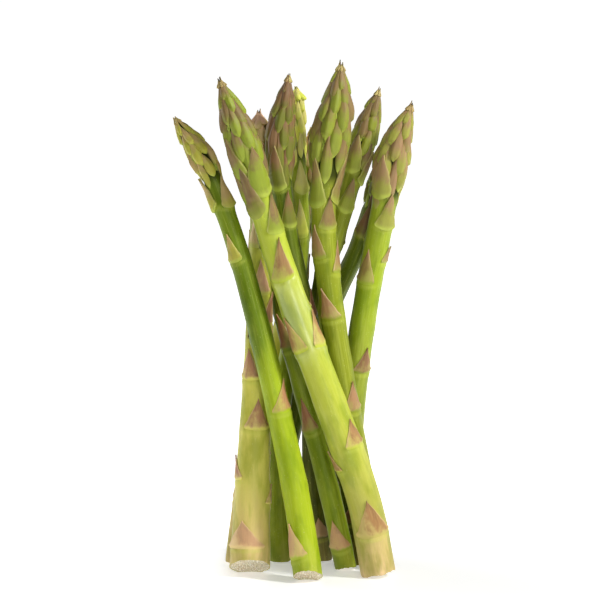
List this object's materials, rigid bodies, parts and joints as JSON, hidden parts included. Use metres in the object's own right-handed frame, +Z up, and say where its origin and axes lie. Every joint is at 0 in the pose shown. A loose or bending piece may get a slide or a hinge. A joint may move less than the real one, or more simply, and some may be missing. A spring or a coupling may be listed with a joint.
{
  "type": "bundle of asparagus",
  "caption": "Upright bundle of green asparagus spears standing on their cut ends, crossing at the waist and fanning out to scaly heads.",
  "frame": {"origin": "on the ground, at the middle of the bundle's outline seen from above", "axes": "+Z up along the spears, +X to the viewer's right, the bundle's best side faces -Y"},
  "size_m": [0.0988, 0.0646, 0.2079],
  "materials": {
    "bright_spear": "fresh bright green plant skin, satin",
    "main_spear": "fresh yellow-green plant skin with purple-brown scales, satin",
    "pale_spear": "pale tan-green plant skin, satin",
    "dark_spear": "dark green plant skin with purple-brown scales, satin",
    "olive_spear": "olive green plant skin, satin"
  },
  "bodies": {
    "root": {"spear_left_front": "bright_spear", "spear_main_front": "main_spear", "spear_left_thick": "pale_spear", "spear_middle_front": "dark_spear", "spear_dark_head": "dark_spear", "spear_tallest": "main_spear", "spear_back_right_lean": "olive_spear", "spear_right": "main_spear", "spear_back_slim": "bright_spear", "spear_back_right_short": "dark_spear", "spear_back_left_foot": "olive_spear"}
  },
  "joints": []
}
